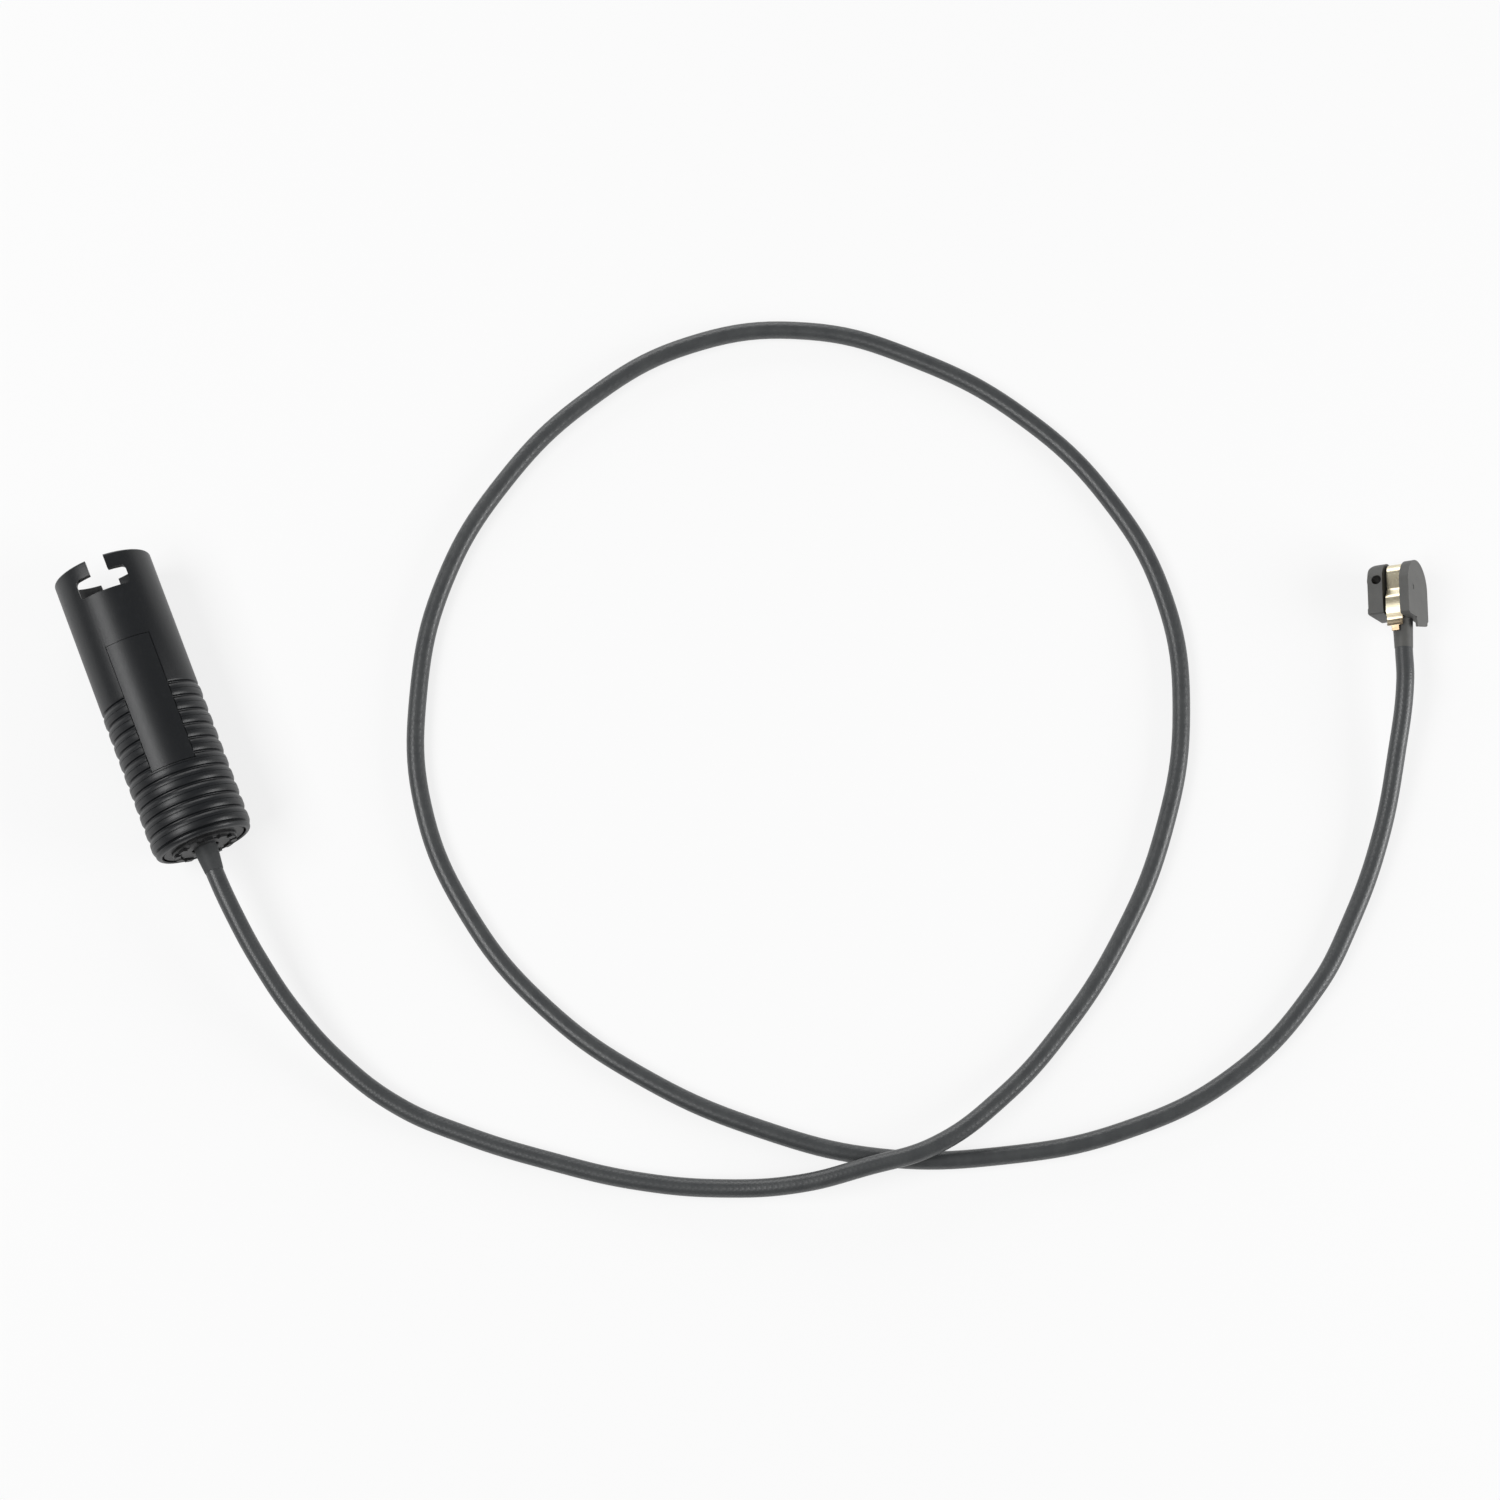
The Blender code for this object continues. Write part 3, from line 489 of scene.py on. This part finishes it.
# Cable grommet
# Moulded rubber seal round the cable: lips press on the bore inside, and a tapered collar
# reaches out of the hub along the cable.
SEAL_LENGTH = 0.006
LIP_COUNT = 3
COLLAR_RADIUS = 0.00235
COLLAR_END_RADIUS = 0.00194

cable_hole = CABLE_DIAMETER / 2 + 0.00002
seal_start = RETAINER_SEAT + FIT
lip = CARRIER_BORE - FIT
outline = [(cable_hole, -COLLAR_LENGTH + 0.0001)]
outline += bow((COLLAR_END_RADIUS - 0.00008, -COLLAR_LENGTH + 0.0001), 0.00008, -90, 0, 3)
outline += [(COLLAR_RADIUS - 0.00018, -0.0022), (COLLAR_RADIUS, -0.0004), (COLLAR_RADIUS, seal_start)]
step = SEAL_LENGTH / (2 * LIP_COUNT)
for index in range(LIP_COUNT):
    low = seal_start + 2 * index * step
    outline += [(lip - 0.0007, low), (lip - 0.0001, low + 0.8 * step)]
    outline += [(lip - 0.0001, low + 1.2 * step), (lip - 0.0007, low + 1.9 * step)]
outline += [(lip - 0.0007, seal_start + SEAL_LENGTH), (cable_hole, seal_start + SEAL_LENGTH)]
grommet = put("cable_seal", spun("cable_seal", outline, 64), connector_place)
rounded(grommet, 0, 1, 40)

seal_rubber, tree, surface = finish("seal rubber")
place = node(tree, "ShaderNodeTexCoord", {}, {}, "Object")
dust = node(tree, "ShaderNodeTexNoise", {}, {"Vector": place, "Scale": 1400.0, "Detail": 5.0})
feed(surface, "Base Color", mixed(dust, (0.026, 0.028, 0.03), (0.06, 0.063, 0.064)))
feed(surface, "Roughness", 0.55 + dust * 0.2)
bumped(surface, dust, 0.3, 0.00003)
dress(grommet, seal_rubber, "seal_rubber", "cable_grommet")


# Contact carrier, its seal ring, the contacts and the wire cores
# Black insulator that is pushed in from the rear against the sleeve's shoulder, a rubber ring in
# its groove, two plated pins with crimp barrels, and the cores that run into them.
def smooth_copy(name, source, angle):
    """A merged and smoothly shaded copy of a CAD node's own mesh."""
    form = bmesh.new()
    form.from_mesh(frame["nodes"][source].data)
    bmesh.ops.remove_doubles(form, verts=form.verts, dist=1e-6)
    mesh = bpy.data.meshes.new(name)
    form.to_mesh(mesh)
    form.free()
    return rounded(put(name, mesh), 0, 1, angle)


dress(smooth_copy("insulator", "contact_carrier", 35), inner_black, "carrier_black", "contact_carrier")
dress(smooth_copy("seal_ring", "carrier_seal", 60), seal_rubber, "seal_rubber", "carrier_seal")

plated, tree, surface = finish("plated contact", metallic=1.0)
place = node(tree, "ShaderNodeTexCoord", {}, {}, "Object")
haze = node(tree, "ShaderNodeTexNoise", {}, {"Vector": place, "Scale": 2400.0, "Detail": 3.0})
feed(surface, "Base Color", mixed(haze, (0.56, 0.52, 0.42), (0.72, 0.69, 0.6)))
feed(surface, "Roughness", 0.2 + haze * 0.2)
bumped(surface, haze, 0.15, 0.00002)

insulation, tree, surface = finish("core insulation")
place = node(tree, "ShaderNodeTexCoord", {}, {}, "Object")
print_marks = node(tree, "ShaderNodeTexNoise", {}, {"Vector": place, "Scale": 1800.0, "Detail": 2.0})
feed(surface, "Base Color", mixed(print_marks, (0.035, 0.036, 0.038), (0.07, 0.07, 0.072)))
feed(surface, "Roughness", 0.36 + print_marks * 0.14)
for letter in "ab":
    pin = smooth_copy(f"pin_{letter}", f"contact_{letter}", 35)
    dress(pin, plated, "contact_metal", f"contact_{letter}")
    core = smooth_copy(f"core_{letter}", f"core_wire_{letter}", 50)
    dress(core, insulation, "core_insulation", f"core_wire_{letter}")


# Sensor head
# One glass-filled moulding round the end of the cable: a D-shaped flange with a small skirt, a narrow
# core with a rounded top, and the wear tip that the disc grinds away, with a tunnel across it.
FLANGE_WIDTH = 0.0111
FLANGE_HEIGHT = 0.01225
FLANGE_THICKNESS = 0.002
FLANGE_CORNER = 0.0007
TIP_WIDTH = 0.0081
TIP_BOTTOM = 0.00095
TIP_HEIGHT = 0.0123
TIP_CORNER = 0.0004
TIP_SHOULDER = 0.002
TIP_INNER = 0.0032
CORE_HALF = 0.0016
CORE_TOP = 0.0113
TUNNEL = (0.00195, 0.00825)
TUNNEL_WIDTH = 0.0021
TUNNEL_HEIGHT = 0.0019
SWELL_REACH = 0.0013
SWELL_RISE = 0.00025
FOOT_HEIGHT = 0.0013
FOOT_RISE = 0.00012
NECK_RADIUS = 0.0021
NECK_END_RADIUS = 0.0019
BOSS_HEIGHT = 0.004
DIMPLE = (0.00605, 0.00285)
DIMPLE_RADIUS = 0.0006
DIMPLE_DEPTH = 0.00009
SKIRT_THICKNESS = 0.00045


def arched(half, bottom, height, corner, steps):
    """Outline of a plate with a half-round top and rounded bottom corners, as (up, across)."""
    top = bow((height - half, 0), half, -90, 90, steps)
    if not corner:
        return [(bottom, -half), *top, (bottom, half)]
    low = bow((bottom + corner, corner - half), corner, 180, 270, 5)
    return low + top + bow((bottom + corner, half - corner), corner, 90, 180, 5)


flange_face = TIP_THICKNESS + CHANNEL
outer_face = flange_face + FLANGE_THICKNESS
flange = arched(FLANGE_WIDTH / 2, 0, FLANGE_HEIGHT, FLANGE_CORNER, 48)
flange = put("flange", raised("flange", flange, flange_face, outer_face, "yzx"))
core = arched(CORE_HALF, TIP_BOTTOM, CORE_TOP, 0, 24)
core = raised("core", core, TIP_INNER - 0.0005, flange_face + 0.0005, "yzx")
tip = raised("tip", arched(TIP_WIDTH / 2, TIP_BOTTOM, TIP_HEIGHT, TIP_CORNER, 40), 0, TIP_INNER, "yzx")
skirt = [(0.0008, 0.0012), (0, 0.0012), (-0.002, 0.0009), *bow((-0.0002, -0.0043), 0.0007, 180, 270, 6)]
skirt = raised("skirt", skirt + [(0.0008, -0.005)], outer_face - SKIRT_THICKNESS, outer_face - 0.00001, "yzx")
curve_radius = (SWELL_REACH**2 + SWELL_RISE**2) / (2 * SWELL_RISE)
spread = math.degrees(math.asin(SWELL_REACH / curve_radius))
swell = [(0.0005, TUNNEL[1] - SWELL_REACH), (0.0005, TUNNEL[1] + SWELL_REACH)]
swell += bow((curve_radius - SWELL_RISE, TUNNEL[1]), curve_radius, 180 - spread, 180 + spread, 12)
swell = raised("swell", swell, 0.0005 - TIP_WIDTH / 2, TIP_WIDTH / 2 - 0.0005, "xyz")
foot_low = TIP_BOTTOM + 0.0002
foot_high = TIP_BOTTOM + FOOT_HEIGHT
foot = [(0.0006, foot_low), (0.0006, foot_high), (-FOOT_RISE, foot_high), (-FOOT_RISE, foot_low)]
foot = raised("foot", foot, -TIP_WIDTH / 2, TIP_WIDTH / 2, "xyz")
neck = spun("neck", [
    (0, -BOSS_HEIGHT), (NECK_RADIUS, -BOSS_HEIGHT), (NECK_RADIUS, 0), (NECK_END_RADIUS, NECK_LENGTH - 0.0001),
    (NECK_END_RADIUS - 0.0001, NECK_LENGTH), (0, NECK_LENGTH),
], 48)
neck.transform(Matrix.Translation((NECK_FROM_FACE, 0, 0)) @ Matrix.Rotation(math.radians(90), 4, "X"))
round_middle = TIP_HEIGHT - TIP_SHOULDER
brow = bow((TIP_SHOULDER, round_middle), TIP_SHOULDER, 180, 90, 12)
brow += [(TIP_SHOULDER, TIP_HEIGHT + 0.001), (-0.001, TIP_HEIGHT + 0.001), (-0.001, round_middle)]
brow = raised("brow", brow, -TIP_WIDTH, TIP_WIDTH, "xyz")
dimple = bow(DIMPLE, DIMPLE_RADIUS, 0, 345, 23)
dimple = raised("dimple", dimple, outer_face - DIMPLE_DEPTH, outer_face + 0.001, "yzx")
shift = (TUNNEL_WIDTH - TUNNEL_HEIGHT) / 2
tunnel = bow((TUNNEL[0] + shift, TUNNEL[1]), TUNNEL_HEIGHT / 2, -90, 90, 14)
tunnel += bow((TUNNEL[0] - shift, TUNNEL[1]), TUNNEL_HEIGHT / 2, 90, 270, 14)
tunnel = raised("tunnel", tunnel, -TIP_WIDTH, TIP_WIDTH, "xyz")
head = carved(flange, [
    (tip, "UNION"), (core, "UNION"), (swell, "UNION"), (foot, "UNION"), (skirt, "UNION"), (neck, "UNION"),
    (brow, "DIFFERENCE"), (tunnel, "DIFFERENCE"), (dimple, "DIFFERENCE"),
])
head.name = "sensor_head"
head.data.transform(head_place)
rounded(head, 0.00014, 3, 40)

head_plastic, tree, surface = finish("head plastic", specular_ior_level=0.45)
place = node(tree, "ShaderNodeTexCoord", {}, {}, "Object")
flow_marks = node(tree, "ShaderNodeTexNoise", {}, {"Vector": place, "Scale": 420.0, "Detail": 5.0})
glass_fill = node(tree, "ShaderNodeTexNoise", {}, {"Vector": place, "Scale": 6500.0, "Detail": 2.0})
shade = flow_marks * 0.7 + glass_fill * 0.3
feed(surface, "Base Color", mixed(shade, (0.064, 0.064, 0.063), (0.118, 0.118, 0.11)))
feed(surface, "Roughness", 0.44 + glass_fill * 0.16)
bumped(surface, glass_fill * 0.6 + flow_marks * 0.4, 0.3, 0.00004)
dress(head, head_plastic, "head_plastic", "head_moulding")


# Spring clip
# Strip of pale brass, folded over the core of the head: its legs bulge out to grip the backing
# plate's slot, pinch in at the cable and end in narrow tongues, one of them with a barb. From the
# pinch down, the brass is painted dark brown as painted shade.
STRIP_THICKNESS = 0.00035
STRIP_FROM_TIP = 0.0001
STRIP_FROM_FLANGE = 0.0005
BULGE = 0.0032
PINCH = 0.0026
TONGUE_WIDTH = 0.0016
TONGUE_SHIFT = 0.0006
BARB = 0.0012
BARB_AT = -0.0023
# Painted shade on the clip's lower end: where the painted dark brown starts, and where it is full.
SHADE_PAINT_FROM = -0.0485
SHADE_PAINT_TO = -0.0525

strip_low = TIP_THICKNESS + STRIP_FROM_TIP
strip_high = flange_face - STRIP_FROM_FLANGE
fold = CORE_HALF + FIT + STRIP_THICKNESS / 2
fold_middle = CORE_TOP - CORE_HALF
leg = bow((0, fold_middle), fold, 90, 0, 10)
leg += [(fold, fold_middle - 0.0032), (fold + 0.0001, fold_middle - 0.0036)]
leg += [(fold + 0.0003, fold_middle - 0.0039), (BULGE - 0.00032, fold_middle - 0.0048)]
leg += [(BULGE - 0.0001, fold_middle - 0.0051), (BULGE, fold_middle - 0.0055)]
leg += [(BULGE, 0.0028), (BULGE, 0.0017), (BULGE - 0.00004, 0.0013), (BULGE - 0.00016, 0.0009)]
leg += [(PINCH + 0.00012, 0.0003), (PINCH, -0.0001), (PINCH, -0.0005), (PINCH + 0.00012, -0.001)]
leg += [(PINCH + 0.0002, -0.0015)]
stations = [(out, up, strip_low, strip_high) for out, up in leg]
tongue = NECK_FROM_FACE - TONGUE_SHIFT - TONGUE_WIDTH / 2
for out, up in ((PINCH + 0.00015, -0.00165), (PINCH + 0.00005, BARB_AT), (PINCH, -0.0027)):
    stations.append((out, up, tongue, tongue + TONGUE_WIDTH))
lower = [(-out, up, low, high) for out, up, low, high in stations[1:]]
barb = next(index for index, station in enumerate(lower) if station[1] == BARB_AT)
lower[barb] = (*lower[barb][:2], lower[barb][2] - BARB, lower[barb][3])
strip = bmesh.new()
rungs = [
    strip.edges.new((strip.verts.new((low, up, out)), strip.verts.new((high, up, out))))
    for out, up, low, high in stations[::-1] + lower
]
for rung, following in zip(rungs, rungs[1:]):
    bmesh.ops.bridge_loops(strip, edges=[rung, following])
bmesh.ops.recalc_face_normals(strip, faces=strip.faces)
strip_mesh = bpy.data.meshes.new("spring_strip")
strip.to_mesh(strip_mesh)
strip.free()
clip = put("spring_strip", strip_mesh, head_place)
wall = clip.modifiers.new("wall", "SOLIDIFY")
wall.thickness = STRIP_THICKNESS
wall.offset = 0
rounded(clip, 0.00007, 2, 50)

spring_brass, tree, surface = finish("spring brass", metallic=1.0)
place = node(tree, "ShaderNodeTexCoord", {}, {}, "Object")
lines = node(tree, "ShaderNodeTexNoise", {}, {"Vector": place, "Scale": 3200.0, "Detail": 4.0})
tarnish = node(tree, "ShaderNodeTexNoise", {}, {"Vector": place, "Scale": 520.0, "Detail": 3.0})
pale_brass = mixed(tarnish, (0.67, 0.59, 0.41), (0.82, 0.76, 0.59))
# Painted shade: the brass darkens to brown from the pinch down to the tongues.
down_strip = node(tree, "ShaderNodeSeparateXYZ", {}, {0: place}, "Y")
fade = {"Value": down_strip, "From Min": SHADE_PAINT_FROM, "From Max": SHADE_PAINT_TO}
painted_shade_mask = node(tree, "ShaderNodeMapRange", {}, fade)
feed(surface, "Base Color", mixed(painted_shade_mask, pale_brass, (0.26, 0.19, 0.12)))
feed(surface, "Roughness", 0.22 + lines * 0.08)
bumped(surface, lines, 0.04, 0.00002)
dress(clip, spring_brass, "clip_metal", "retaining_clip")

# Sensing loop
# Bare copper wire inside the moulding, whose crown crosses the tunnel in the wear tip: the disc
# cuts it when the pad is worn down.
copper, tree, surface = finish("loop copper", metallic=1.0)
place = node(tree, "ShaderNodeTexCoord", {}, {}, "Object")
drawn = node(tree, "ShaderNodeTexNoise", {}, {"Vector": place, "Scale": 2600.0, "Detail": 3.0})
feed(surface, "Base Color", mixed(drawn, (0.5, 0.26, 0.14), (0.72, 0.42, 0.26)))
feed(surface, "Roughness", 0.28 + drawn * 0.18)
dress(smooth_copy("sensing_wire", "sensing_loop", 50), copper, "loop_metal", "sensing_loop")


# Table and light
# A plain white table that runs out of the picture, and three soft lamps: a long one up on the left
# makes the pale band along the connector, a low one in front lights the head's broad face, and a low
# one at the back shows in the clip's ledge.
TABLE_SIZE = 6.0
TABLE_GLOW = 0.8
WORLD_STRENGTH = 0.17
form = bmesh.new()
bmesh.ops.create_grid(form, x_segments=1, y_segments=1, size=TABLE_SIZE / 2)
table_mesh = bpy.data.meshes.new("table")
form.to_mesh(table_mesh)
form.free()
table = put("table", table_mesh)
table_white, tree, surface = finish("table white", roughness=0.9)
surface.inputs["Base Color"].default_value = (0.86, 0.86, 0.86, 1)
seen = node(tree, "ShaderNodeLightPath", {}, {}, "Is Camera Ray")
seen += node(tree, "ShaderNodeLightPath", {}, {}, "Is Glossy Ray")
glow = tree.nodes.new("ShaderNodeEmission")
blend = tree.nodes.new("ShaderNodeMixShader")
tree.links.new((seen.math("MINIMUM", 1.0) * TABLE_GLOW).socket, blend.inputs[0])
tree.links.new(surface.outputs[0], blend.inputs[1])
tree.links.new(glow.outputs[0], blend.inputs[2])
tree.links.new(blend.outputs[0], tree.nodes["Material Output"].inputs["Surface"])
table_mesh.materials.append(table_white)

world = bpy.data.worlds.new("studio")
bpy.context.scene.world = world
world.use_nodes = True
background = world.node_tree.nodes["Background"]
background.inputs["Color"].default_value = (1, 1, 1, 1)
background.inputs["Strength"].default_value = WORLD_STRENGTH


def lamp(name, place, aim, size, power):
    """A rectangular soft lamp that points at a place."""
    light = bpy.data.lights.new(name, "AREA")
    light.shape = "RECTANGLE"
    light.size, light.size_y = size
    light.energy = power
    rig = bpy.data.objects.new(name, light)
    bpy.context.collection.objects.link(rig)
    direction = Vector(aim) - Vector(place)
    rig.matrix_world = Matrix.Translation(place) @ direction.to_track_quat("-Z", "Y").to_matrix().to_4x4()


lamp("left", (-0.72, 0.08, 0.94), (-0.12, 0.08, 0), (0.95, 0.5), 9.5)
lamp("front", (0.6, -0.38, 0.26), (0.12, -0.05, 0), (0.4, 0.35), 3.6)
lamp("back", (0.1, 0.95, 0.29), (0.1, 0, 0.02), (1.0, 0.5), 4.5)
